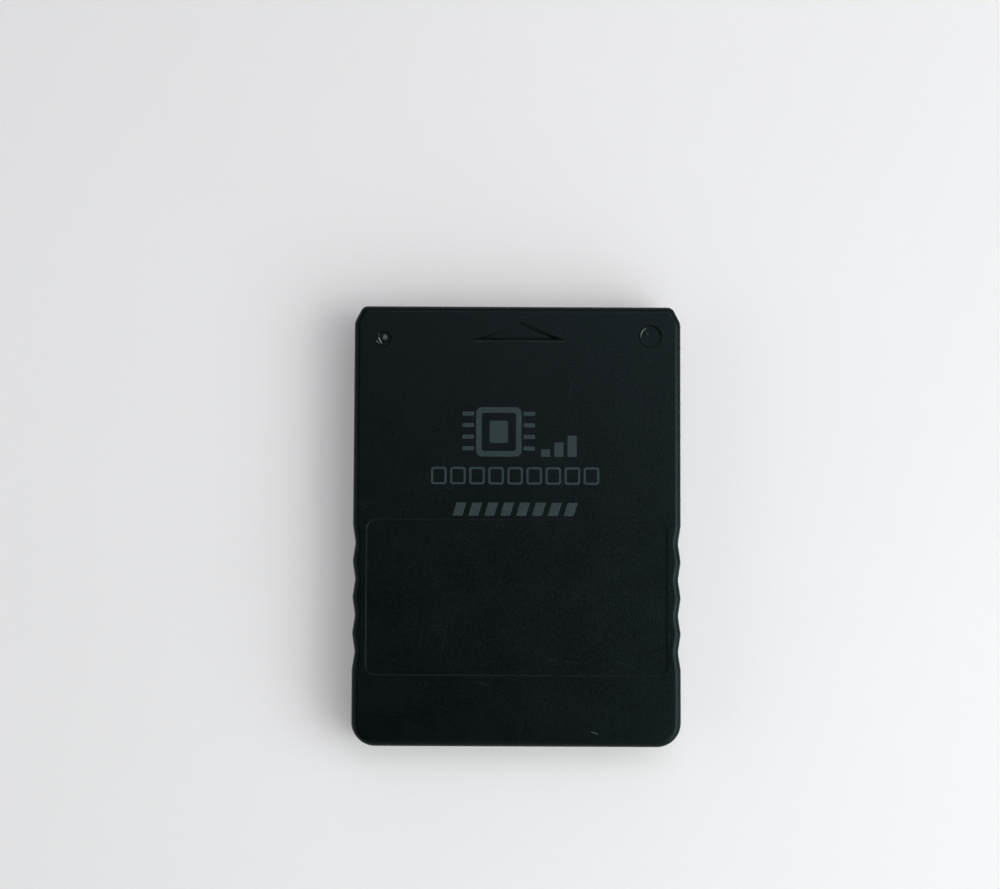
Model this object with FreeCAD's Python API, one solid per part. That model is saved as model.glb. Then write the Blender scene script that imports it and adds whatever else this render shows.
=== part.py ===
import FreeCAD, Part
import math
import os

# Memory card for a game console: two moulded shells pressed together on four pegs
# around a populated circuit board whose plated contacts show through three windows
# in the rear shell, at the insertion end.
#
# Frame, in millimetres: the card lies on its rear face, +Z is out of the front face,
# +Y points to the insertion end, +X to the right as the front is read.
# The origin is under the middle of the card, on the plane of the rear face.

V = FreeCAD.Vector

# ---------------------------------------------------------------- overall size
W = 41.0                # across the card (X)
L = 55.0                # grip end to insertion end (Y)
T = 7.5                 # rear face to front face (Z)
Z_PART = 3.6            # height of the parting line between the shells
FRONT_R = 0.8           # rounding of the front edge
REAR_R = 0.6            # rounding of the rear edge
SEAM = 0.12             # small chamfer on both shells at the parting line

# ---------------------------------------------------------------- outline
CORNER_R = 3.0          # grip-end corners
CHAM_X, CHAM_Y = 1.05, 2.05     # slanted corners at the insertion end
CHAM_R_TOP, CHAM_R_LOW = 0.9, 1.6
GRIP_Y0 = -2.28         # first finger notch
GRIP_PITCH = 4.5
GRIP_COUNT = 4
GRIP_DEPTH = 0.34
GRIP_R = 2.0            # rounding of notch bottoms and crests

# ---------------------------------------------------------------- walls
WALL = 1.5              # side walls, both shells
ROOF_Z = 6.2            # inside of the front wall
FLOOR_Z = 1.2           # inside of the rear wall
TONGUE_T = 0.7          # tongue on the rear shell's rim
TONGUE_H = 0.7
TONGUE_GAP = 0.05

# ---------------------------------------------------------------- front face
PANEL_W, PANEL_H, PANEL_Y, PANEL_R = 37.6, 19.5, -9.0, 1.25
PANEL_DEPTH, PANEL_RUN, PANEL_RIM = 0.18, 0.19, 0.08    # sunk depth, slant of the sides, rounding of the rim
ARROW = [(-5.50, 23.40), (5.65, 23.40), (0.35, 25.60)]      # insertion arrow: base corners and tip
ARROW_DEPTH, ARROW_RUNS = 0.36, (0.38, 0.38)                 # its floor, and the slants of its right and left long sides
ARROW_BASE = [(0.36, -0.10), (0.12, 0.05), (0.04, 0.14), (0.0, 0.25)]  # its base side from floor to rim: depth, way outwards
MARKS = [(-16.92, 23.31, 1.00), (16.67, 23.76, 1.36)]          # round sunk marks: place and radius
MARK_DEPTH = 0.40
STUB_X, STUB_Y, STUB_R, STUB_H = -16.72, 23.51, 0.40, 0.30     # broken gate stub in the left mark

# ---------------------------------------------------------------- rear face
FIELD_W, FIELD_Y0, FIELD_Y1, FIELD_R, FIELD_DEPTH = 36.6, -22.6, 14.4, 1.25, 0.2

# ---------------------------------------------------------------- board and contacts
BOARD_T = 1.0
BOARD_Z = 2.6           # rear side of the board
BOARD_TOP = BOARD_Z + BOARD_T
BOARD_HALF_X = 18.6
BOARD_Y0, BOARD_Y1 = -25.2, 25.8
CONTACT_PITCH, CONTACT_W, CONTACT_T = 3.9, 2.6, 0.06
CONTACT_Y0, CONTACT_Y1 = 18.8, 25.6
CONTACT_X = [-14.65, -10.75, -6.85, -1.95, 1.95, 5.85, 10.75, 14.65]
CONTACT_GROUPS = [(0, 2), (3, 5), (6, 7)]
WINDOW_MARGIN = 1.6     # from the outer contact's middle to the window's side
WINDOW_Y0 = 18.4        # inner end of the windows
LEAD_IN = 0.45          # chamfer over each window's mouth

# ---------------------------------------------------------------- pegs
PEGS = [(-16.4, 14.6), (16.4, 14.6), (-16.4, -22.2), (16.4, -22.2)]
PEG_R, PEG_TIP_Z = 1.10, 1.15
SOCKET_R, SOCKET_Z = 1.11, 0.95
PEG_SHOULDER_R, BOSS_R = 2.1, 2.3
BOARD_HOLE_R = 1.25


# ================================================================ helpers
def rounded(corners, z):
    """Closed wire through (x, y, radius) corners at height z, each rounded by its radius."""
    n = len(corners)
    runs = []
    for i in range(n):
        p = V(corners[i][0], corners[i][1], z)
        a = V(corners[i - 1][0], corners[i - 1][1], z) - p
        b = V(corners[(i + 1) % n][0], corners[(i + 1) % n][1], z) - p
        a.normalize()
        b.normalize()
        r = corners[i][2]
        if r <= 0:
            runs.append((p, None, p))
            continue
        half = a.getAngle(b) / 2.0
        t = r / math.tan(half)
        d = a + b
        d.normalize()
        c = p + d * (r / math.sin(half))
        m = c - d * r
        runs.append((p + a * t, m, p + b * t))
    edges = []
    for i in range(n):
        s, m, e = runs[i]
        if m is not None:
            edges.append(Part.Arc(s, m, e).toShape())
        nxt = runs[(i + 1) % n][0]
        if (nxt - e).Length > 1e-6:
            edges.append(Part.LineSegment(e, nxt).toShape())
    return Part.Wire(edges)


def prism(corners, z0, z1):
    return Part.Face(rounded(corners, z0)).extrude(V(0, 0, z1 - z0))


def rect(x0, y0, x1, y1, r):
    return [(x0, y0, r), (x1, y0, r), (x1, y1, r), (x0, y1, r)]


def box(x0, x1, y0, y1, z0, z1):
    return Part.makeBox(x1 - x0, y1 - y0, z1 - z0, V(x0, y0, z0))


def drafted(low, z_low, high, z_high):
    """Solid with flat sides between two outlines with matching corners."""
    return Part.makeLoft([rounded(low, z_low), rounded(high, z_high)], True, True)


def grown(points, d):
    """A convex outline, counter-clockwise, with each side moved outwards by its own d."""
    n = len(points)
    sides = []
    for i in range(n):
        (x0, y0), (x1, y1) = points[i], points[(i + 1) % n]
        ln = math.hypot(x1 - x0, y1 - y0)
        nx, ny = (y1 - y0) / ln, (x0 - x1) / ln
        sides.append((nx, ny, nx * x0 + ny * y0 + d[i]))
    out = []
    for i in range(n):
        a, b = sides[i - 1], sides[i]
        det = a[0] * b[1] - a[1] * b[0]
        out.append(((a[2] * b[1] - a[1] * b[2]) / det, (a[0] * b[2] - a[2] * b[0]) / det))
    return out


def edges_at(shape, z):
    return [e for e in shape.Edges if all(abs(v.Z - z) < 1e-6 for v in e.Vertexes)]


def clean(shape):
    """One tidy solid from the result of fuses and cuts."""
    s = shape.removeSplitter()
    if s.ShapeType != "Solid" and len(s.Solids) == 1:
        s = s.Solids[0]
    return s


def export(shape, name):
    ok = shape.isValid() and all(s.isClosed() for s in shape.Solids)
    print("%-28s solids %3d  volume %9.3f mm3  valid %s" % (name, len(shape.Solids), shape.Volume, ok))
    shape.exportStep("parts/%s.step" % name)


# ================================================================ outlines
def card_outline():
    """The card's own outline, with finger notches on both long sides."""
    hw, hl = W / 2.0, L / 2.0
    last = GRIP_Y0 - GRIP_PITCH * (GRIP_COUNT - 1)
    right = [(hw, last - GRIP_PITCH / 2.0, GRIP_R)]
    for k in range(GRIP_COUNT - 1, -1, -1):
        y = GRIP_Y0 - GRIP_PITCH * k
        right.append((hw - GRIP_DEPTH, y, GRIP_R))
        right.append((hw, y + GRIP_PITCH / 2.0, GRIP_R))
    right += [(hw, hl - CHAM_Y, CHAM_R_LOW), (hw - CHAM_X, hl, CHAM_R_TOP)]
    left = [(-x, y, r) for x, y, r in reversed(right)]
    return [(-hw, -hl, CORNER_R), (hw, -hl, CORNER_R)] + right + left


def inner_outline(inset):
    """A plain outline inside the card's, for the walls' inner faces."""
    hw, hl = W / 2.0 - inset, L / 2.0 - inset
    r = CORNER_R - inset
    cx, cy = CHAM_X * 0.85, CHAM_Y * 0.85
    return [(-hw, -hl, r), (hw, -hl, r), (hw, hl - cy, 0.4), (hw - cx, hl, 0.4),
            (-hw + cx, hl, 0.4), (-hw, hl - cy, 0.4)]


# ================================================================ front shell
def make_front_shell():
    body = prism(card_outline(), Z_PART, T)
    body = body.makeFillet(FRONT_R, edges_at(body, T))
    body = body.makeChamfer(SEAM, edges_at(body, Z_PART))
    body = body.cut(prism(inner_outline(WALL), Z_PART - 1, ROOF_Z))
    # rebate for the rear shell's tongue
    rebate = WALL - TONGUE_T - TONGUE_GAP
    body = body.cut(prism(inner_outline(rebate), Z_PART - 1, Z_PART + TONGUE_H + 0.1))

    # sunk label panel with slanted sides
    hw, hh = PANEL_W / 2.0, PANEL_H / 2.0
    over = 0.05
    k = PANEL_RUN * over / PANEL_DEPTH
    low = rect(-hw + PANEL_RUN, PANEL_Y - hh + PANEL_RUN, hw - PANEL_RUN, PANEL_Y + hh - PANEL_RUN, PANEL_R - PANEL_RUN)
    high = rect(-hw - k, PANEL_Y - hh - k, hw + k, PANEL_Y + hh + k, PANEL_R + k)
    body = body.cut(drafted(low, T - PANEL_DEPTH, high, T + over))
    rim = [e for e in edges_at(body, T) if all(abs(v.X) < hw + 0.01 and abs(v.Y - PANEL_Y) < hh + 0.01 for v in e.Vertexes)]
    body = body.makeFillet(PANEL_RIM, rim)

    # sunk insertion arrow
    steps = []
    for depth, way in ARROW_BASE:
        steps.append((T - depth, [(x, y, 0) for x, y in grown(ARROW, [way] + [-run * depth / ARROW_DEPTH for run in ARROW_RUNS])]))
    (d0, w0), (d1, w1) = ARROW_BASE[-2:]
    rise = over / (d0 - d1)
    steps[-1] = (T + over, [(x, y, 0) for x, y in grown(ARROW, [w1 + (w1 - w0) * rise] + [run * over / ARROW_DEPTH for run in ARROW_RUNS])])
    for (z0, low), (z1, high) in zip(steps, steps[1:]):
        body = body.cut(drafted(low, z0, high, z1))

    # two round sunk marks; the left one holds the stub of the moulding gate
    for x, y, r in MARKS:
        body = body.cut(Part.makeCylinder(r, MARK_DEPTH + 1, V(x, y, T - MARK_DEPTH)))
        body = body.cut(Part.makeCone(r, r + 0.20, 0.20, V(x, y, T - 0.12)))
    stub = Part.makeCone(STUB_R, STUB_R * 0.8, STUB_H, V(STUB_X, STUB_Y, T - MARK_DEPTH - 0.001))
    slant = Part.makeBox(4, 4, 2, V(-2, -2, 0))
    slant.Placement = FreeCAD.Placement(V(STUB_X, STUB_Y, T - MARK_DEPTH + STUB_H * 0.62), FreeCAD.Rotation(V(1, 0.6, 0), 17))
    body = body.fuse(stub.cut(slant))

    # pegs with shoulders that clamp the board
    for x, y in PEGS:
        body = body.fuse(Part.makeCylinder(PEG_SHOULDER_R, ROOF_Z - BOARD_TOP + 0.3, V(x, y, BOARD_TOP)))
        peg = Part.makeCylinder(PEG_R, ROOF_Z - PEG_TIP_Z, V(x, y, PEG_TIP_Z))
        peg = peg.makeChamfer(0.25, [e for e in peg.Edges if len(e.Vertexes) == 1 and abs(e.Vertexes[0].Z - PEG_TIP_Z) < 1e-6])
        body = body.fuse(peg)
    # cross ribs that hold the board down behind and before the contacts
    for y0, y1, hx in ((24.3, 25.2, 15.5), (17.3, 18.1, 13.6)):
        body = body.fuse(box(-hx, hx, y0, y1, BOARD_TOP, ROOF_Z + 0.3))
    # low ribs that stiffen the wide front wall over the grip
    for y0, y1 in ((-24.9, -24.1),):
        body = body.fuse(box(-13.0, 13.0, y0, y1, BOARD_TOP, ROOF_Z + 0.3))
    return clean(body)


# ================================================================ rear shell
def windows():
    for first, last in CONTACT_GROUPS:
        yield CONTACT_X[first] - WINDOW_MARGIN, CONTACT_X[last] + WINDOW_MARGIN


def make_rear_shell():
    body = prism(card_outline(), 0, Z_PART)
    body = body.makeFillet(REAR_R, edges_at(body, 0))
    body = body.makeChamfer(SEAM, edges_at(body, Z_PART))
    cavity = prism(inner_outline(WALL), FLOOR_Z, Z_PART + 5)
    body = body.cut(cavity)
    # tongue around the rim
    tongue = prism(inner_outline(WALL - TONGUE_T), Z_PART - 0.5, Z_PART + TONGUE_H)
    tongue = tongue.cut(prism(inner_outline(WALL), Z_PART - 1, Z_PART + 5))
    body = body.fuse(tongue)

    # ledges, bulkhead and end blocks that carry the board
    hx, z0, z1 = W / 2.0 - WALL, FLOOR_Z - 0.2, BOARD_Z
    inside = prism(inner_outline(WALL - 0.4), 0.5, Z_PART)
    carry = [box(hx - 1.3, hx + 0.4, -20.0, 17.0, z0, z1), box(-hx - 0.4, -hx + 1.3, -20.0, 17.0, z0, z1),
             box(-hx - 0.4, hx + 0.4, WINDOW_Y0 - 1.2, L / 2.0 - WALL + 0.4, z0, z1),
             box(-13.0, 13.0, -25.0, -24.2, z0, z1)]
    for c in carry:
        body = body.fuse(c.common(inside))
    # sockets for the pegs
    for x, y in PEGS:
        body = body.fuse(Part.makeCylinder(BOSS_R, z1 - z0, V(x, y, z0)))
    for x, y in PEGS:
        body = body.cut(Part.makeCylinder(SOCKET_R, 5, V(x, y, SOCKET_Z)))

    # contact windows, open to the rear face and to the insertion end, with a lead-in over each mouth
    for x0, x1 in windows():
        body = body.cut(box(x0, x1, WINDOW_Y0, L / 2.0 + 1, -1, BOARD_Z))
        y, z = L / 2.0, BOARD_Z
        tri = Part.Face(Part.makePolygon([V(x0, y - LEAD_IN, z - 0.01), V(x0, y + 0.01, z - 0.01),
                                          V(x0, y + 0.01, z + LEAD_IN), V(x0, y - LEAD_IN, z - 0.01)]))
        body = body.cut(tri.extrude(V(x1 - x0, 0, 0)))

    # plain sunk field on the rear face
    hw = FIELD_W / 2.0
    run, over = 0.16, 0.05
    k = run * over / FIELD_DEPTH
    low = rect(-hw - k, FIELD_Y0 - k, hw + k, FIELD_Y1 + k, FIELD_R + k)
    high = rect(-hw + run, FIELD_Y0 + run, hw - run, FIELD_Y1 - run, FIELD_R - run)
    body = body.cut(drafted(low, -over, high, FIELD_DEPTH))
    return clean(body)


# ================================================================ board
def make_board():
    c = 1.9
    hx = BOARD_HALF_X
    outline = [(-hx, BOARD_Y0, 1.8), (hx, BOARD_Y0, 1.8), (hx, BOARD_Y1 - c, 0.3), (hx - c, BOARD_Y1, 0.3),
               (-hx + c, BOARD_Y1, 0.3), (-hx, BOARD_Y1 - c, 0.3)]
    b = prism(outline, BOARD_Z, BOARD_TOP)
    for x, y in PEGS:
        b = b.cut(Part.makeCylinder(BOARD_HOLE_R, 5, V(x, y, BOARD_Z - 2)))
    return clean(b)


def make_contacts():
    pads = []
    for x in CONTACT_X:
        pads.append(prism(rect(x - CONTACT_W / 2, CONTACT_Y0, x + CONTACT_W / 2, CONTACT_Y1, 0.4), BOARD_Z - CONTACT_T, BOARD_Z))
    return Part.makeCompound(pads)


# ================================================================ chips
def package(cx, cy, sx, sy, z0, z1, z_lead, slope=0.12, pin1=None):
    """Moulded package: drafted above and below a straight band where the leads come out."""
    def ring(inset, z):
        return rounded(rect(cx - sx / 2 + inset, cy - sy / 2 + inset, cx + sx / 2 - inset, cy + sy / 2 - inset, 0.12), z)
    band = 0.12
    s = Part.makeLoft([ring(slope, z0), ring(0, z_lead - band), ring(0, z_lead + band), ring(slope, z1)], True, True)
    if pin1:
        s = s.cut(Part.makeCylinder(pin1[2], 0.5, V(pin1[0], pin1[1], z1 - 0.08)))
    return clean(s)


def gull(z_lead, reach, width, thick=0.13):
    """One gull-wing lead, running along +X from a package side at x = 0 down to the board."""
    t, zb = thick, BOARD_TOP
    zt = z_lead + t / 2.0
    up, foot = reach * 0.30, reach * 0.52
    pts = [(0, zt - t), (up, zt - t), (foot - t * 0.4, zb), (reach, zb), (reach, zb + t), (foot + t * 0.6, zb + t), (up + t, zt), (0, zt)]
    f = Part.Face(Part.makePolygon([V(x, -width / 2.0, z) for x, z in pts + [pts[0]]]))
    return f.extrude(V(0, width, 0))


def leads_row(lead, start, direction, pitch_dir, pitch, count):
    """Copies of a lead, turned to point along direction, in a row centred on start."""
    out = []
    ang = math.degrees(math.atan2(direction[1], direction[0]))
    for i in range(count):
        o = (i - (count - 1) / 2.0) * pitch
        c = lead.copy()
        c.Placement = FreeCAD.Placement(V(start[0] + pitch_dir[0] * o, start[1] + pitch_dir[1] * o, 0),
                                        FreeCAD.Rotation(V(0, 0, 1), ang))
        out.append(c)
    return out


def make_flash():
    cx, cy, sx, sy = 0.0, 8.6, 18.4, 12.0
    z0, z1, zl = BOARD_TOP + 0.06, BOARD_TOP + 1.06, BOARD_TOP + 0.56
    body = package(cx, cy, sx, sy, z0, z1, zl, 0.1, (cx - 8.2, cy - 5.0, 0.5))
    lead = gull(zl, 0.8, 0.22)
    leads = leads_row(lead, (cx + sx / 2, cy), (1, 0), (0, 1), 0.5, 24)
    leads += leads_row(lead, (cx - sx / 2, cy), (-1, 0), (0, 1), 0.5, 24)
    return body, Part.makeCompound(leads)


def make_controller():
    cx, cy, s = 1.0, -8.2, 7.0
    z0, z1, zl = BOARD_TOP + 0.1, BOARD_TOP + 1.5, BOARD_TOP + 0.8
    body = package(cx, cy, s, s, z0, z1, zl, 0.14, (cx - 2.5, cy - 2.5, 0.4))
    lead = gull(zl, 1.0, 0.22)
    leads = []
    for d, p in (((1, 0), (0, 1)), ((-1, 0), (0, 1)), ((0, 1), (1, 0)), ((0, -1), (1, 0))):
        leads += leads_row(lead, (cx + d[0] * s / 2, cy + d[1] * s / 2), d, p, 0.5, 12)
    return body, Part.makeCompound(leads)


def make_crystal():
    cx, cy, sx, sy = 10.2, -8.2, 3.2, 5.0
    z = BOARD_TOP
    base = prism(rect(cx - sx / 2, cy - sy / 2, cx + sx / 2, cy + sy / 2, 0.3), z, z + 0.7)
    i = 0.2
    lid = prism(rect(cx - sx / 2 + i, cy - sy / 2 + i, cx + sx / 2 - i, cy + sy / 2 - i, 0.35), z + 0.7, z + 1.05)
    return base, lid


def make_regulator():
    cx, cy = -11.4, -14.4
    zl = BOARD_TOP + 0.5
    body = package(cx, cy, 2.9, 1.3, BOARD_TOP + 0.06, BOARD_TOP + 1.06, zl, 0.08)
    lead = gull(zl, 0.55, 0.4)
    leads = leads_row(lead, (cx, cy - 0.65), (0, -1), (1, 0), 1.9, 2) + leads_row(lead, (cx, cy + 0.65), (0, 1), (1, 0), 1.9, 1)
    return body, Part.makeCompound(leads)


def chip_part(cx, cy, lx, wy, h, end, turn=False, lift=0.03):
    """(body, two end terminals) of a two-ended chip part lying along X, or along Y if turned."""
    z = BOARD_TOP
    body = box(-lx / 2 + end, lx / 2 - end, -wy / 2 + lift, wy / 2 - lift, z + lift, z + h - lift)
    ends = [box(-lx / 2, -lx / 2 + end, -wy / 2, wy / 2, z, z + h), box(lx / 2 - end, lx / 2, -wy / 2, wy / 2, z, z + h)]
    place = FreeCAD.Placement(V(cx, cy, 0), FreeCAD.Rotation(V(0, 0, 1), 90 if turn else 0))
    for s in [body] + ends:
        s.Placement = place
    return body, ends


def chip_set(items):
    bodies, ends = [], []
    for item in items:
        b, e = chip_part(*item)
        bodies.append(b)
        ends += e
    return Part.makeCompound(bodies), Part.makeCompound(ends)


def moulded_two_lead(cx, cy, sx, sy, h, strap_w, strap_t):
    """Moulded block with a flat strap folded under and up each end."""
    z = BOARD_TOP
    body = package(cx, cy, sx, sy, z + strap_t, z + h, z + h * 0.5, 0.08)
    straps = []
    for d in (-1, 1):
        x = cx + d * sx / 2
        pts = [(0, z + h * 0.5 + 0.12), (0, z + h * 0.5 - 0.12), (0.10, z + h * 0.5 - 0.12), (0.10, z + strap_t), (-0.75, z + strap_t),
               (-0.75, z), (0.10 + strap_t, z), (0.10 + strap_t, z + h * 0.5 + 0.12)]
        f = Part.Face(Part.makePolygon([V(px, -strap_w / 2.0, pz) for px, pz in pts + [pts[0]]]))
        s = f.extrude(V(0, strap_w, 0))
        s.Placement = FreeCAD.Placement(V(x, cy, 0), FreeCAD.Rotation(V(0, 0, 1), 0 if d > 0 else 180))
        straps.append(s)
    return body, Part.makeCompound(straps)


# ================================================================ build
os.makedirs("parts", exist_ok=True)

export(make_front_shell(), "front_shell")
export(make_rear_shell(), "rear_shell")
export(make_board(), "circuit_board")
export(make_contacts(), "edge_contacts")

b, l = make_flash()
export(b, "flash_memory_body")
export(l, "flash_memory_leads")
b, l = make_controller()
export(b, "controller_body")
export(l, "controller_leads")
b, l = make_crystal()
export(b, "crystal_base")
export(l, "crystal_lid")
b, l = make_regulator()
export(b, "regulator_body")
export(l, "regulator_leads")
b, l = moulded_two_lead(-11.4, -8.2, 3.5, 2.8, 1.9, 2.2, 0.12)
export(b, "bulk_capacitor_body")
export(l, "bulk_capacitor_terminals")
b, l = moulded_two_lead(-11.4, -19.0, 2.7, 1.6, 1.1, 0.6, 0.12)
export(b, "diode_body")
export(l, "diode_terminals")

# decoupling capacitors round the chips, then load capacitors beside the crystal
b, l = chip_set([(-6.2, -13.6, 2.0, 1.25, 0.95, 0.4), (1.0, -15.4, 2.0, 1.25, 0.95, 0.4), (5.4, -15.4, 2.0, 1.25, 0.95, 0.4),
                 (12.6, 8.6, 2.0, 1.25, 0.95, 0.4, True), (-12.6, 6.0, 2.0, 1.25, 0.95, 0.4, True),
                 (13.6, -6.9, 1.6, 0.8, 0.8, 0.3, True), (13.6, -9.9, 1.6, 0.8, 0.8, 0.3, True)])
export(b, "ceramic_capacitor_bodies")
export(l, "ceramic_capacitor_terminals")

# series resistors behind the contacts, and two pull-ups by the controller
b, l = chip_set([(x, 16.0, 1.6, 0.8, 0.45, 0.3) for x in (-10.5, -7.5, -4.5, -1.5, 1.5, 4.5, 7.5, 10.5)]
                + [(-5.8, -6.2, 1.6, 0.8, 0.45, 0.3, True), (-5.8, -9.2, 1.6, 0.8, 0.45, 0.3, True)])
export(b, "resistor_bodies")
export(l, "resistor_terminals")
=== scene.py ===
import bpy, bmesh, math, random
from mathutils import Matrix, Vector


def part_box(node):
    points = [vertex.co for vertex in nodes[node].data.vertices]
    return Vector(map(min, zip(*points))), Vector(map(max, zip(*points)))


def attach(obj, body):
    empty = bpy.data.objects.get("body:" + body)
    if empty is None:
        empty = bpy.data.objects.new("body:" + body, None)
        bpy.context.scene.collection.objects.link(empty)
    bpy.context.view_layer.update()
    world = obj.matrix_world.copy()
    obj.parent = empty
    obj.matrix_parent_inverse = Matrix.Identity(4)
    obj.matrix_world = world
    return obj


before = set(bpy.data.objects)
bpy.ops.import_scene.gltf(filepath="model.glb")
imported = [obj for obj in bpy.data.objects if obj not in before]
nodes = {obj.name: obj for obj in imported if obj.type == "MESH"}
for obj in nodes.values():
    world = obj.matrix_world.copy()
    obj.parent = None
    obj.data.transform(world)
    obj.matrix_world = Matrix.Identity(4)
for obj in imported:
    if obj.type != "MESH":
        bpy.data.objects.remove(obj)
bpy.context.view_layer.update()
MM = 0.001
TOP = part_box("front_shell")[1].z          # plane of the front face


# =============================================================== small helpers
def N(tree, kind, ins=None, **props):
    """A node of that kind; a socket given as an input is linked, anything else is set."""
    n = tree.nodes.new(kind)
    for k, v in props.items():
        setattr(n, k, v)
    for k, v in (ins or {}).items():
        if isinstance(v, bpy.types.NodeSocket):
            tree.links.new(v, n.inputs[k])
        else:
            n.inputs[k].default_value = v
    return n


def math_(tree, op, a, b=0.0, c=None, clamp=False):
    ins = {0: a, 1: b}
    if c is not None:
        ins[2] = c
    return N(tree, "ShaderNodeMath", ins, operation=op, use_clamp=clamp).outputs[0]


def ramp(tree, value, lo, hi, out_lo=0.0, out_hi=1.0, smooth=True):
    return N(tree, "ShaderNodeMapRange", {"Value": value, "From Min": lo, "From Max": hi, "To Min": out_lo, "To Max": out_hi},
             interpolation_type="SMOOTHSTEP" if smooth else "LINEAR").outputs["Result"]


def mixc(tree, fac, a, b):
    return N(tree, "ShaderNodeMix", {0: fac, 6: a, 7: b}, data_type="RGBA").outputs[2]


def noise(tree, vec, scale, detail=2.0, rough=0.5, distort=0.0):
    return N(tree, "ShaderNodeTexNoise", {"Vector": vec, "Scale": scale, "Detail": detail, "Roughness": rough, "Distortion": distort}).outputs[0]


def scaled(tree, vec, xyz):
    return N(tree, "ShaderNodeVectorMath", {0: vec, 1: xyz}, operation="MULTIPLY").outputs[0]


def new_material(name):
    """Empty material, its tree, its shader, and object coordinates in millimetres."""
    m = bpy.data.materials.new(name)
    m.use_nodes = True
    t = m.node_tree
    t.nodes.clear()
    out = t.nodes.new("ShaderNodeOutputMaterial")
    bsdf = t.nodes.new("ShaderNodeBsdfPrincipled")
    t.links.new(bsdf.outputs[0], out.inputs[0])
    tc = t.nodes.new("ShaderNodeTexCoord")
    p = scaled(t, tc.outputs["Object"], (1000.0, 1000.0, 1000.0))
    return m, t, bsdf, p, tc.outputs["Normal"]


def bump(tree, height, distance_mm, strength=1.0, under=None):
    ins = {"Height": height, "Distance": distance_mm * MM, "Strength": strength}
    if under is not None:
        ins["Normal"] = under
    return N(tree, "ShaderNodeBump", ins).outputs[0]


def rgb(r, g, b):
    return (r, g, b, 1.0)


def stroke(tree, p, a, b, width, blur):
    """1 along a short line from a to b on the front face (mm), fading to 0 past its width."""
    d = Vector((b[0] - a[0], b[1] - a[1], 0))
    ln = d.length
    d.normalize()
    rel = N(tree, "ShaderNodeVectorMath", {0: scaled(tree, p, (1, 1, 0)), 1: (a[0], a[1], 0)}, operation="SUBTRACT").outputs[0]
    along = N(tree, "ShaderNodeVectorMath", {0: rel, 1: tuple(d)}, operation="DOT_PRODUCT").outputs["Value"]
    along = math_(tree, "MINIMUM", math_(tree, "MAXIMUM", along, 0.0), ln)
    foot = N(tree, "ShaderNodeVectorMath", {0: tuple(d), "Scale": along}, operation="SCALE").outputs[0]
    off = N(tree, "ShaderNodeVectorMath", {0: N(tree, "ShaderNodeVectorMath", {0: rel, 1: foot}, operation="SUBTRACT").outputs[0]}, operation="LENGTH").outputs["Value"]
    return ramp(tree, off, width, width + blur, 1.0, 0.0)


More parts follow.
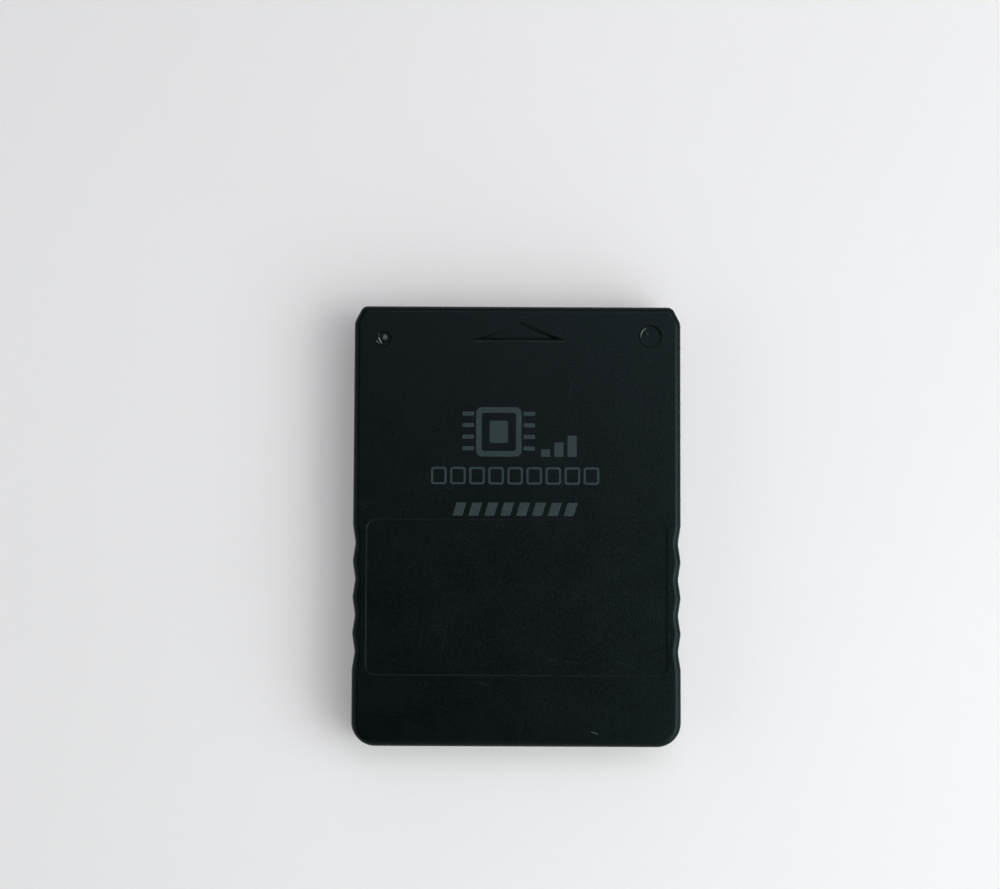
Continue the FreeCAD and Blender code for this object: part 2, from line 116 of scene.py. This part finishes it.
# =============================================================== materials
def shell_plastic(name, strokes=()):
    m, t, s, p, nrm = new_material(name)
    # colour: cool black with slow mottling and a fine speckle of the moulded grain
    slow = noise(t, p, 0.16, 3.0, 0.55)
    mid = noise(t, p, 2.0, 3.0, 0.6)
    fine = noise(t, p, 6.5, 3.0, 0.65)
    base = mixc(t, ramp(t, slow, 0.3, 0.7), rgb(0.0008, 0.0018, 0.0018), rgb(0.0013, 0.0025, 0.0025))
    base = mixc(t, ramp(t, mid, 0.35, 0.75, 0.0, 0.35), base, rgb(0.0030, 0.0045, 0.0047))
    base = mixc(t, ramp(t, fine, 0.55, 0.8, 0.0, 0.4), base, rgb(0.0046, 0.0064, 0.0066))
    # rounded edges are rubbed: paler and a little smoother, in patches
    nz = N(t, "ShaderNodeSeparateXYZ", {0: nrm}).outputs[2]
    tilt = math_(t, "SUBTRACT", 1.0, math_(t, "ABSOLUTE", nz))
    edge = math_(t, "MULTIPLY", ramp(t, tilt, 0.03, 0.25), ramp(t, tilt, 0.98, 0.80))
    patch = ramp(t, noise(t, p, 0.9, 4.0, 0.65), 0.38, 0.68)
    wear = math_(t, "MULTIPLY", edge, math_(t, "ADD", 0.35, math_(t, "MULTIPLY", patch, 0.65)))
    base = mixc(t, math_(t, "MULTIPLY", wear, 0.5), base, rgb(0.0100, 0.0128, 0.0130))
    # hairline scratches in two directions, sparse and faint
    hair = None
    for ang, sc in ((0.35, 1.0), (1.75, 1.4)):
        turned = N(t, "ShaderNodeVectorRotate", {"Vector": p, "Angle": ang}, rotation_type="Z_AXIS").outputs[0]
        long_ = noise(t, scaled(t, turned, (0.10, 5.5 * sc, 1.0)), 1.0, 1.0, 0.4, 0.25)
        line = ramp(t, long_, 0.715, 0.745)
        gate = ramp(t, noise(t, scaled(t, turned, (0.22, 0.45, 0.3)), 1.0, 2.0), 0.52, 0.66)
        one = math_(t, "MULTIPLY", line, gate)
        hair = one if hair is None else math_(t, "MAXIMUM", hair, one)
    base = mixc(t, math_(t, "MULTIPLY", hair, 0.35), base, rgb(0.022, 0.027, 0.028))
    # specks of dust
    cell = N(t, "ShaderNodeTexVoronoi", {"Vector": p, "Scale": 0.55, "Randomness": 1.0})
    pick = N(t, "ShaderNodeSeparateColor", {0: cell.outputs["Color"]}).outputs[0]
    dust = math_(t, "MULTIPLY", ramp(t, cell.outputs["Distance"], 0.018, 0.034, 1.0, 0.0), ramp(t, pick, 0.74, 0.76))
    base = mixc(t, math_(t, "MULTIPLY", dust, 0.55), base, rgb(0.045, 0.05, 0.05))
    # single scratches that sit where the real card has them, and a painted highlight: a pale line along the rim at
    # the arrow's base
    scratch_and_rim_highlight = None
    for a, b, w, k in strokes:
        one = math_(t, "MULTIPLY", stroke(t, p, a, b, w, w * 1.2), k)
        scratch_and_rim_highlight = one if scratch_and_rim_highlight is None else math_(t, "MAXIMUM", scratch_and_rim_highlight, one)
    if scratch_and_rim_highlight is not None:
        facing = ramp(t, nz, 0.7, 0.95)
        scratch_and_rim_highlight = math_(t, "MULTIPLY", scratch_and_rim_highlight, facing)
        # pale colour of the scratches and of the painted rim highlight
        base = mixc(t, scratch_and_rim_highlight, base, rgb(0.10, 0.115, 0.115))
    t.links.new(base, s.inputs["Base Color"])
    # gloss
    r = math_(t, "ADD", 0.345, math_(t, "MULTIPLY", math_(t, "SUBTRACT", slow, 0.5), 0.14))
    r = math_(t, "ADD", r, math_(t, "MULTIPLY", math_(t, "SUBTRACT", mid, 0.5), 0.15))
    r = math_(t, "SUBTRACT", r, math_(t, "MULTIPLY", wear, 0.09))
    r = math_(t, "ADD", r, math_(t, "MULTIPLY", dust, 0.3))
    t.links.new(r, s.inputs["Roughness"])
    s.inputs["IOR"].default_value = 1.52
    s.inputs["Specular IOR Level"].default_value = 0.26
    s.inputs["Specular Tint"].default_value = (0.72, 0.98, 1.0, 1.0)
    # spark-eroded grain: shallow pits of about a tenth of a millimetre
    pits = N(t, "ShaderNodeTexVoronoi", {"Vector": p, "Scale": 5.0, "Randomness": 1.0}, feature="SMOOTH_F1").outputs["Distance"]
    grain = math_(t, "ADD", math_(t, "MULTIPLY", pits, 0.6), math_(t, "MULTIPLY", fine, 0.7))
    n0 = bump(t, grain, 0.022, 0.60)
    n1 = bump(t, mid, 0.016, 0.40, n0)
    n2 = bump(t, hair, -0.006, 0.5, n1)
    t.links.new(n2, s.inputs["Normal"])
    return m


def ink(name):
    m, t, s, p, nrm = new_material(name)
    f = noise(t, p, 6.0, 3.0, 0.65)
    w = noise(t, p, 0.5, 3.0, 0.6)
    c = mixc(t, ramp(t, f, 0.35, 0.7), rgb(0.026, 0.043, 0.044), rgb(0.038, 0.058, 0.059))
    c = mixc(t, ramp(t, w, 0.45, 0.75, 0.0, 0.45), c, rgb(0.046, 0.066, 0.067))
    thin = ramp(t, noise(t, p, 15.0, 2.0, 0.7), 0.63, 0.74)
    c = mixc(t, math_(t, "MULTIPLY", thin, 0.55), c, rgb(0.010, 0.015, 0.016))
    t.links.new(c, s.inputs["Base Color"])
    t.links.new(ramp(t, f, 0.2, 0.8, 0.50, 0.66), s.inputs["Roughness"])
    s.inputs["Specular IOR Level"].default_value = 0.35
    t.links.new(bump(t, f, 0.006, 0.5), s.inputs["Normal"])
    return m


def torn_plastic_and_painted_glint(name):
    m, t, s, p, nrm = new_material(name)
    f = noise(t, p, 7.0, 3.0, 0.7)
    z = N(t, "ShaderNodeSeparateXYZ", {0: p}).outputs[2]
    high = ramp(t, z, 7.11, 7.30)
    # the slivers on the left are stress-whitened and the lump beside them only greyed; the other mark's scuff ridges
    # and the chip on its floor are pale grey, a painted highlight along that mark's upper-left wall and a painted
    # glint on its floor
    xyz = N(t, "ShaderNodeSeparateXYZ", {0: p}).outputs
    from_stub = N(t, "ShaderNodeVectorMath", {0: scaled(t, p, (1, 1, 0)), 1: (-16.72, 23.51, 0.0)}, operation="DISTANCE").outputs["Value"]
    grey = math_(t, "MAXIMUM", ramp(t, from_stub, 0.50, 0.56, 1.0, 0.0), ramp(t, xyz[1], 23.56, 23.64))
    pale = mixc(t, grey, rgb(0.46, 0.49, 0.49), rgb(0.090, 0.100, 0.104))
    # painted highlight and glint: right of x = 0 the ridges turn pale grey
    pale = mixc(t, ramp(t, xyz[0], 0.0, 1.0), pale, rgb(0.34, 0.36, 0.36))
    c = mixc(t, math_(t, "MULTIPLY", high, ramp(t, f, 0.30, 0.60, 0.25, 1.0)), rgb(0.010, 0.013, 0.014), pale)
    t.links.new(c, s.inputs["Base Color"])
    t.links.new(ramp(t, f, 0.2, 0.8, 0.36, 0.62), s.inputs["Roughness"])
    t.links.new(bump(t, noise(t, p, 16.0, 3.0, 0.7), 0.03, 0.7), s.inputs["Normal"])
    return m


def solder_mask(name):
    m, t, s, p, nrm = new_material(name)
    weave = N(t, "ShaderNodeTexWave", {"Vector": p, "Scale": 0.9, "Distortion": 0.4, "Detail": 1.0}, bands_direction="X").outputs["Fac"]
    weft = N(t, "ShaderNodeTexWave", {"Vector": p, "Scale": 0.9, "Distortion": 0.4, "Detail": 1.0}, bands_direction="Y").outputs["Fac"]
    cloth = math_(t, "MULTIPLY", weave, weft)
    slow = noise(t, p, 0.3, 3.0, 0.6)
    # copper under the mask: runs of tracks that show a shade paler
    run = N(t, "ShaderNodeTexVoronoi", {"Vector": scaled(t, p, (0.26, 0.07, 0.1)), "Scale": 3.0, "Randomness": 0.55}, distance="CHEBYCHEV").outputs["Distance"]
    track = ramp(t, run, 0.30, 0.33, 1.0, 0.0)
    c = mixc(t, slow, rgb(0.006, 0.060, 0.022), rgb(0.010, 0.085, 0.030))
    c = mixc(t, math_(t, "MULTIPLY", track, 0.55), c, rgb(0.030, 0.150, 0.050))
    c = mixc(t, math_(t, "MULTIPLY", cloth, 0.18), c, rgb(0.05, 0.17, 0.07))
    # the cut edge is bare laminate
    nz = N(t, "ShaderNodeSeparateXYZ", {0: nrm}).outputs[2]
    side = ramp(t, math_(t, "ABSOLUTE", nz), 0.5, 0.7, 1.0, 0.0)
    c = mixc(t, side, c, mixc(t, noise(t, scaled(t, p, (1, 1, 9)), 1.5, 2.0), rgb(0.22, 0.19, 0.09), rgb(0.36, 0.31, 0.15)))
    t.links.new(c, s.inputs["Base Color"])
    t.links.new(ramp(t, slow, 0.3, 0.7, 0.24, 0.38), s.inputs["Roughness"])
    t.links.new(bump(t, cloth, 0.008, 0.5, bump(t, track, 0.02, 0.6)), s.inputs["Normal"])
    return m


def gold_plate(name):
    m, t, s, p, nrm = new_material(name)
    wipe = noise(t, scaled(t, p, (7.0, 0.35, 1.0)), 1.0, 3.0, 0.6)
    slow = noise(t, p, 0.8, 3.0, 0.6)
    c = mixc(t, slow, rgb(0.80, 0.52, 0.17), rgb(0.90, 0.64, 0.27))
    c = mixc(t, ramp(t, wipe, 0.58, 0.72, 0.0, 0.55), c, rgb(0.95, 0.76, 0.42))
    t.links.new(c, s.inputs["Base Color"])
    s.inputs["Metallic"].default_value = 1.0
    t.links.new(math_(t, "ADD", ramp(t, wipe, 0.3, 0.7, 0.16, 0.34), math_(t, "MULTIPLY", slow, 0.08)), s.inputs["Roughness"])
    t.links.new(bump(t, wipe, 0.006, 0.5, bump(t, noise(t, p, 9.0, 2.0), 0.004, 0.4)), s.inputs["Normal"])
    return m


def moulded(name, dark, pale, rough=(0.45, 0.6), grain=9.0):
    """Filled epoxy or fired ceramic: fine grain, faint flow mottling."""
    m, t, s, p, nrm = new_material(name)
    f = noise(t, p, grain, 3.0, 0.65)
    w = noise(t, p, 0.9, 3.0, 0.6)
    c = mixc(t, ramp(t, f, 0.4, 0.75), rgb(*dark), rgb(*pale))
    c = mixc(t, ramp(t, w, 0.4, 0.8, 0.0, 0.4), c, rgb(*[x * 1.25 for x in pale]))
    t.links.new(c, s.inputs["Base Color"])
    t.links.new(ramp(t, w, 0.25, 0.75, *rough), s.inputs["Roughness"])
    t.links.new(bump(t, f, 0.012, 0.5), s.inputs["Normal"])
    return m


def metal(name, dark, pale, rough=(0.28, 0.45), along=(1.0, 1.0, 1.0)):
    m, t, s, p, nrm = new_material(name)
    f = noise(t, scaled(t, p, along), 5.0, 3.0, 0.65)
    w = noise(t, p, 1.2, 3.0, 0.6)
    c = mixc(t, ramp(t, f, 0.3, 0.7), rgb(*dark), rgb(*pale))
    t.links.new(c, s.inputs["Base Color"])
    s.inputs["Metallic"].default_value = 1.0
    t.links.new(math_(t, "ADD", ramp(t, f, 0.25, 0.75, *rough), math_(t, "MULTIPLY", math_(t, "SUBTRACT", w, 0.5), 0.12)), s.inputs["Roughness"])
    t.links.new(bump(t, f, 0.006, 0.5), s.inputs["Normal"])
    return m


def pale_floor(name):
    m, t, s, p, nrm = new_material(name)
    w = noise(t, p, 0.012, 4.0, 0.55)
    f = noise(t, p, 1.6, 3.0, 0.6)
    c = mixc(t, ramp(t, w, 0.3, 0.7), rgb(0.680, 0.642, 0.633), rgb(0.695, 0.657, 0.648))
    c = mixc(t, ramp(t, f, 0.4, 0.8, 0.0, 0.25), c, rgb(0.669, 0.635, 0.624))
    t.links.new(c, s.inputs["Base Color"])
    t.links.new(ramp(t, f, 0.2, 0.8, 0.62, 0.74), s.inputs["Roughness"])
    s.inputs["Specular IOR Level"].default_value = 0.25
    away = N(t, "ShaderNodeVectorMath", {0: p}, operation="LENGTH").outputs["Value"]
    s.inputs["Emission Color"].default_value = (1.0, 1.0, 0.99, 1.0)
    # the lamps fall off away from the card, more on the left and in front, so the far floor is evened out
    xyz = N(t, "ShaderNodeSeparateXYZ", {0: p}).outputs
    glow = math_(t, "ADD", ramp(t, away, 115.0, 520.0, 0.22, 0.55), ramp(t, xyz[1], -250.0, -800.0, 0.0, 0.30))
    glow = math_(t, "ADD", glow, ramp(t, xyz[0], -150.0, -500.0, 0.0, 0.12))
    glow = math_(t, "ADD", glow, ramp(t, away, 530.0, 620.0, 0.0, 0.30))
    t.links.new(glow, s.inputs["Emission Strength"])
    t.links.new(bump(t, f, 0.02, 0.25), s.inputs["Normal"])
    return m


FRONT_STROKES = [
    ((9.39, -25.62), (9.75, -25.72), 0.042, 0.80), ((9.75, -25.72), (10.08, -25.86), 0.038, 0.70),
    # painted highlight: these three strokes at y 23.05 paint the light caught by the rounded rim at the arrow's base
    # as a pale line
    ((-5.40, 23.05), (-3.20, 23.05), 0.045, 0.12), ((-3.20, 23.05), (1.40, 23.05), 0.040, 0.08), ((1.40, 23.05), (6.05, 23.05), 0.045, 0.13),
    ((13.45, -8.05), (13.58, -8.70), 0.030, 0.12), ((13.95, -8.05), (13.87, -8.60), 0.030, 0.10),
    ((-10.25, -12.62), (-9.40, -12.58), 0.030, 0.10), ((-10.10, -13.05), (-9.00, -13.02), 0.030, 0.12), ((-9.80, -13.46), (-9.30, -13.50), 0.030, 0.08),
    ((3.9, -16.72), (5.1, -16.64), 0.030, 0.10), ((6.1, -16.95), (7.9, -17.06), 0.030, 0.12), ((4.6, -17.30), (5.4, -17.32), 0.025, 0.08),
    ((16.3, 20.8), (16.8, 20.45), 0.035, 0.09), ((17.7, 16.55), (18.2, 16.25), 0.030, 0.08),
]
black_front = shell_plastic("shell_plastic_front", FRONT_STROKES)
black_rear = shell_plastic("shell_plastic_rear")
tinned = metal("tinned_metal_finish", (0.55, 0.55, 0.54), (0.72, 0.72, 0.71))
epoxy = moulded("chip_epoxy", (0.010, 0.010, 0.011), (0.022, 0.022, 0.023))
finish = {
    "front_shell": black_front, "rear_shell": black_rear, "circuit_board": solder_mask("board_mask"), "edge_contacts": gold_plate("contact_gold"),
    "flash_memory_body": epoxy, "controller_body": epoxy, "regulator_body": epoxy, "diode_body": epoxy,
    "flash_memory_leads": tinned, "controller_leads": tinned, "regulator_leads": tinned, "bulk_capacitor_terminals": tinned,
    "ceramic_capacitor_terminals": tinned, "resistor_terminals": tinned, "diode_terminals": tinned,
    "crystal_base": moulded("crystal_ceramic_finish", (0.020, 0.016, 0.013), (0.045, 0.036, 0.028)),
    "crystal_lid": metal("crystal_lid_finish", (0.62, 0.60, 0.56), (0.78, 0.76, 0.72), (0.22, 0.34), (0.3, 6.0, 1.0)),
    "bulk_capacitor_body": moulded("tantalum_epoxy", (0.52, 0.26, 0.035), (0.66, 0.36, 0.06), (0.38, 0.5)),
    "ceramic_capacitor_bodies": moulded("capacitor_ceramic_finish", (0.20, 0.115, 0.06), (0.30, 0.19, 0.11), (0.4, 0.55)),
    "resistor_bodies": moulded("resistor_coating", (0.010, 0.010, 0.012), (0.024, 0.024, 0.027), (0.3, 0.42)),
}
for name, mat in finish.items():
    obj = nodes[name]
    for sl in obj.material_slots:
        sl.material = mat


# =============================================================== printed marks on the front
def loop(points):
    return [(x, y) for x, y in points]


def round_rect(x0, y0, x1, y1, r, steps=6):
    pts = []
    for cx, cy, a0 in ((x1 - r, y0 + r, -90), (x1 - r, y1 - r, 0), (x0 + r, y1 - r, 90), (x0 + r, y0 + r, 180)):
        for i in range(steps + 1):
            a = math.radians(a0 + 90.0 * i / steps)
            pts.append((cx + r * math.cos(a), cy + r * math.sin(a)))
    return pts


def disc(cx, cy, r, steps=28):
    return [(cx + r * math.cos(2 * math.pi * i / steps), cy + r * math.sin(2 * math.pi * i / steps)) for i in range(steps)]


def printed(name, loops, z, thick, mat):
    """Flat ink film made from closed outlines in millimetres; a loop inside another is a hole."""
    cu = bpy.data.curves.new(name + "_outline", "CURVE")
    cu.dimensions = "2D"
    cu.fill_mode = "BOTH"
    for pts in loops:
        sp = cu.splines.new("POLY")
        sp.points.add(len(pts) - 1)
        for q, (x, y) in zip(sp.points, pts):
            q.co = (x * MM, y * MM, 0, 1)
        sp.use_cyclic_u = True
    cu.extrude = thick * MM / 2
    tmp = bpy.data.objects.new(name + "_tmp", cu)
    bpy.context.scene.collection.objects.link(tmp)
    bpy.context.view_layer.update()
    me = bpy.data.meshes.new_from_object(tmp.evaluated_get(bpy.context.evaluated_depsgraph_get()))
    bpy.data.objects.remove(tmp)
    me.transform(Matrix.Translation((0, 0, z)))
    bm = bmesh.new()
    bm.from_mesh(me)
    bmesh.ops.remove_doubles(bm, verts=bm.verts, dist=1e-7)
    bmesh.ops.recalc_face_normals(bm, faces=bm.faces)
    bm.to_mesh(me)
    bm.free()
    ob = bpy.data.objects.new(name, me)
    bpy.context.scene.collection.objects.link(ob)
    me.materials.clear()
    me.materials.append(mat)
    return ob


film = 0.014
marks = []
# a plain chip pictogram: frame, legs and a core
marks.append(round_rect(-5.15, 8.55, 0.55, 14.75, 0.75))
marks.append(round_rect(-4.45, 9.25, -0.15, 14.05, 0.35))
marks.append(round_rect(-3.45, 10.25, -1.15, 13.05, 0.3))
for k in range(4):
    y = 9.32 + 1.45 * k
    marks.append(round_rect(-6.85, y + 0.0, -5.40, y + 0.52, 0.12, 3))
    marks.append(round_rect(0.80, y + 0.0, 2.25, y + 0.52, 0.12, 3))
# three rising bars
for k, h in enumerate((0.95, 1.80, 2.65)):
    marks.append(round_rect(3.00 + 1.65 * k, 8.55, 4.15 + 1.65 * k, 8.55 + h, 0.12, 3))
# a row of open cells
for k in range(9):
    x = -10.75 + 2.385 * k
    marks.append(round_rect(x, 5.05, x + 1.95, 7.25, 0.35, 4))
    marks.append(round_rect(x + 0.27, 5.32, x + 1.68, 6.98, 0.18, 4))
# a row of short slanted dashes
for k in range(8):
    x = -8.05 + 1.985 * k
    marks.append([(x, 1.15), (x + 1.25, 1.15), (x + 1.75, 2.80), (x + 0.50, 2.80)])
print_film = printed("front_print", marks, TOP + 0.003 * MM, film, ink("grey_ink"))
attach(print_film, "root")


# =============================================================== torn moulding gate in the left mark
def torn_gate():
    rnd = random.Random(11)
    bm = bmesh.new()
    floor_z = TOP - 0.40 * MM

    def ridge(path, widths, heights):
        """Ragged upstanding sliver of plastic along a path."""
        rows = []
        for (x, y), w, h in zip(path, widths, heights):
            row = []
            for k in range(7):
                u = k / 6.0 * 2 - 1
                zz = h * max(0.0, 1 - abs(u) ** 1.6) * (0.80 + 0.4 * rnd.random())
                row.append(bm.verts.new(((x + u * w + 0.03 * (rnd.random() - 0.5)) * MM, (y + 0.03 * (rnd.random() - 0.5)) * MM, floor_z + (zz - 0.02) * MM)))
            rows.append(row)
        for a, b in zip(rows, rows[1:]):
            for k in range(6):
                bm.faces.new((a[k], a[k + 1], b[k + 1], b[k]))
            bm.faces.new((a[0], b[0], b[6], a[6]))
        bm.faces.new(rows[0])
        bm.faces.new(list(reversed(rows[-1])))

    def path(pts, n):
        out = []
        for i in range(n):
            f = i / (n - 1) * (len(pts) - 1)
            j = min(int(f), len(pts) - 2)
            u = f - j
            out.append((pts[j][0] * (1 - u) + pts[j + 1][0] * u, pts[j][1] * (1 - u) + pts[j + 1][1] * u))
        return out

    def swell(n, low, high):
        return [low + high * math.sin(math.pi * (i + 0.5) / n) for i in range(n)]

    # hooked sliver left of the stub: a long stroke, a short one and the bar where they meet
    ridge(path([(-17.48, 23.56), (-17.36, 23.22), (-17.08, 22.74)], 12), swell(12, 0.07, 0.09), swell(12, 0.16, 0.20))
    ridge(path([(-17.80, 23.18), (-17.64, 22.96), (-17.42, 22.74)], 10), swell(10, 0.06, 0.08), swell(10, 0.14, 0.20))
    ridge(path([(-17.52, 22.84), (-17.30, 22.74), (-17.08, 22.72)], 8), swell(8, 0.08, 0.08), swell(8, 0.16, 0.18))
    # a lower smear above them
    ridge(path([(-17.38, 24.16), (-17.44, 23.92), (-17.42, 23.66)], 9), swell(9, 0.05, 0.08), swell(9, 0.10, 0.16))
    # scuffed wall of the right mark, and a chip of plastic on its floor; their pale colour is a painted highlight and
    # a painted glint
    cx, cy, r = 16.67, 23.76, 1.36
    arc = [(cx + (r - 0.15) * math.cos(math.radians(t)), cy + (r - 0.15) * math.sin(math.radians(t))) for t in range(104, 190, 6)]
    ridge(path(arc, 26), [w * (0.7 + 0.6 * rnd.random()) for w in swell(26, 0.06, 0.10)], [h * (0.75 + 0.35 * rnd.random()) for h in swell(26, 0.12, 0.26)])
    arc = [(cx + (r - 0.36) * math.cos(math.radians(t)), cy + (r - 0.36) * math.sin(math.radians(t))) for t in range(112, 150, 6)]
    ridge(path(arc, 12), swell(12, 0.03, 0.05), [h * (0.5 + 0.6 * rnd.random()) for h in swell(12, 0.06, 0.16)])
    ridge(path([(16.04, 24.36), (16.28, 24.14), (16.52, 23.90)], 10), swell(10, 0.03, 0.05), swell(10, 0.05, 0.15))
    # crumpled cap on the stub
    rings, seg = 6, 20
    cx, cy, r = -16.72, 23.51, 0.43
    prev = None
    for i in range(rings + 1):
        ph = math.pi / 2 * i / rings
        row = []
        for k in range(seg):
            a = 2 * math.pi * k / seg
            rr = r * math.cos(ph) * (0.86 + 0.24 * rnd.random()) * (1.0 + 0.16 * math.sin(a + 0.5))
            zz = 0.02 + 0.29 * math.sin(ph) * (0.80 + 0.35 * rnd.random()) + 0.07 * math.cos(a - 2.2) * math.sin(ph)
            row.append(bm.verts.new(((cx + rr * math.cos(a)) * MM, (cy + rr * math.sin(a)) * MM, floor_z + (zz - 0.02) * MM)))
        if i == rings:
            top = bm.verts.new((cx * MM, cy * MM, floor_z + 0.27 * MM))
            for v in row:
                bm.verts.remove(v)
            for k in range(seg):
                bm.faces.new((prev[k], prev[(k + 1) % seg], top))
            break
        if prev:
            for k in range(seg):
                bm.faces.new((prev[k], prev[(k + 1) % seg], row[(k + 1) % seg], row[k]))
        else:
            bm.faces.new(list(reversed(row)))
        prev = row
    bmesh.ops.recalc_face_normals(bm, faces=bm.faces)
    me = bpy.data.meshes.new("gate_tear")
    bm.to_mesh(me)
    bm.free()
    ob = bpy.data.objects.new("gate_tear", me)
    bpy.context.scene.collection.objects.link(ob)
    me.materials.append(torn_plastic_and_painted_glint("torn_plastic_and_painted_glint"))
    sub = ob.modifiers.new("smooth", "SUBSURF")
    sub.levels = sub.render_levels = 1
    return ob


tear = torn_gate()
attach(tear, "root")


# =============================================================== stage, light and camera
fl = bpy.data.meshes.new("floor")
half = 1.5
fl.from_pydata([(-half, -half, -1e-5), (half, -half, -1e-5), (half, half, -1e-5), (-half, half, -1e-5)], [], [(0, 1, 2, 3)])
fl.materials.append(pale_floor("pale_floor"))
floor = bpy.data.objects.new("floor", fl)
bpy.context.scene.collection.objects.link(floor)

# round pale backdrop that curves up out of the floor; it closes the view from low down and adds no light of its own
def pale_backdrop(name):
    m, t, s, p, nrm = new_material(name)
    w = noise(t, p, 0.004, 3.0, 0.5)
    t.links.new(mixc(t, w, rgb(0.10, 0.097, 0.096), rgb(0.14, 0.136, 0.134)), s.inputs["Base Color"])
    t.links.new(ramp(t, w, 0.2, 0.8, 0.7, 0.8), s.inputs["Roughness"])
    s.inputs["Emission Color"].default_value = (1.0, 1.0, 0.99, 1.0)
    t.links.new(ramp(t, w, 0.2, 0.8, 0.93, 0.97), s.inputs["Emission Strength"])
    return m


radius, cove, high, seg = 1.45, 0.45, 1.9, 96
profile = [(radius - cove + cove * math.sin(math.radians(a)), cove - cove * math.cos(math.radians(a))) for a in range(0, 91, 6)] + [(radius, high)]
bd = bpy.data.meshes.new("backdrop")
bd.from_pydata(
    [(r * math.cos(2 * math.pi * k / seg), r * math.sin(2 * math.pi * k / seg), z) for k in range(seg) for r, z in profile], [],
    [(k * len(profile) + i, ((k + 1) % seg) * len(profile) + i, ((k + 1) % seg) * len(profile) + i + 1, k * len(profile) + i + 1) for k in range(seg) for i in range(len(profile) - 1)])
bd.polygons.foreach_set("use_smooth", [True] * len(bd.polygons))
bd.materials.append(pale_backdrop("pale_backdrop"))
backdrop = bpy.data.objects.new("backdrop", bd)
bpy.context.scene.collection.objects.link(backdrop)
for ray in ("diffuse", "glossy", "transmission", "volume_scatter", "shadow"):
    setattr(backdrop, "visible_" + ray, False)


def softbox(name, at, aim, size, power, color=(1, 1, 1)):
    li = bpy.data.lights.new(name, "AREA")
    li.shape = "RECTANGLE"
    li.size, li.size_y = size
    li.energy = power
    li.color = color
    ob = bpy.data.objects.new(name, li)
    bpy.context.scene.collection.objects.link(ob)
    ob.location = at
    ob.rotation_euler = (Vector(aim) - Vector(at)).to_track_quat("-Z", "Y").to_euler()
    return ob


COOL, BLUE = (0.92, 1.0, 1.01), (1.03, 0.99, 1.13)
for name, at, size, power, tint in (
        ("key_right", (0.39, -0.15, 0.29), (0.50, 0.30), 0.886, COOL), ("key_low", (0.52, -0.22, 0.17), (0.50, 0.26), 0.244, COOL),
        ("key_up", (0.40, 0.02, 0.40), (0.40, 0.30), 0.850, COOL), ("key_front", (0.25, -0.36, 0.25), (0.46, 0.28), 0.325, COOL),
        ("back_high", (0.14, 0.34, 0.58), (0.45, 0.35), 0.495, BLUE), ("front_high", (0.02, -0.44, 0.56), (0.50, 0.30), 0.320, COOL),
        ("over_right", (0.23, 0.05, 0.41), (0.20, 0.25), 0.143, COOL), ("over_front", (0.22, -0.10, 0.41), (0.20, 0.25), 0.395, COOL),
        ("fill_left", (-0.46, -0.05, 0.30), (0.45, 0.30), 0.400, COOL), ("top_back", (0.02, 0.20, 0.60), (0.35, 0.25), 0.341, BLUE)):
    softbox(name, at, (0, 0, 0), size, power, tint)

# walls that are pale behind and in front, dim on the left, under a dark ceiling, so that the black face stays black from above
world = bpy.data.worlds.new("studio")
bpy.context.scene.world = world
world.use_nodes = True
wt = world.node_tree
way = N(wt, "ShaderNodeSeparateXYZ", {0: wt.nodes.new("ShaderNodeTexCoord").outputs["Generated"]}).outputs
glow = None
for axis, sign, level in ((0, -1.0, 0.171), (1, 1.0, 0.980), (1, -1.0, 0.785)):
    one = math_(wt, "MULTIPLY", math_(wt, "MAXIMUM", math_(wt, "MULTIPLY", way[axis], sign), 0.0), level)
    glow = one if glow is None else math_(wt, "ADD", glow, one)
glow = math_(wt, "MULTIPLY", glow, ramp(wt, way[2], 0.10, 0.72, 1.0, 0.0, smooth=False))
sky = wt.nodes["Background"]
sky.inputs[0].default_value = rgb(0.93, 1.0, 1.01)
wt.links.new(glow, sky.inputs[1])

sc = bpy.context.scene
sc.view_settings.view_transform = "Standard"
sc.view_settings.look = "None"
sc.view_settings.exposure = 0.0
sc.view_settings.gamma = 0.86

# camera above the card, leaning a little towards the grip end
TILT, ROLL, YAW = math.radians(3.623), math.radians(0.265), math.radians(0.014)
AIM, DIST, FOCAL_PX = Vector((-2.15, 10.064, 7.5)) * MM, 250.0 * MM, 1998.3
rot = Matrix.Rotation(YAW, 3, "Y") @ Matrix.Rotation(TILT, 3, "X") @ Matrix.Rotation(ROLL, 3, "Z")
cam_data = bpy.data.cameras.new("camera")
cam_data.sensor_fit = "HORIZONTAL"
cam_data.sensor_width = 36.0
cam_data.lens = FOCAL_PX / 1000.0 * 36.0
cam_data.clip_start, cam_data.clip_end = 0.005, 20.0
cam = bpy.data.objects.new("camera", cam_data)
sc.collection.objects.link(cam)
cam.matrix_world = Matrix.Translation(AIM + rot @ Vector((0, 0, DIST))) @ rot.to_4x4()
sc.camera = cam
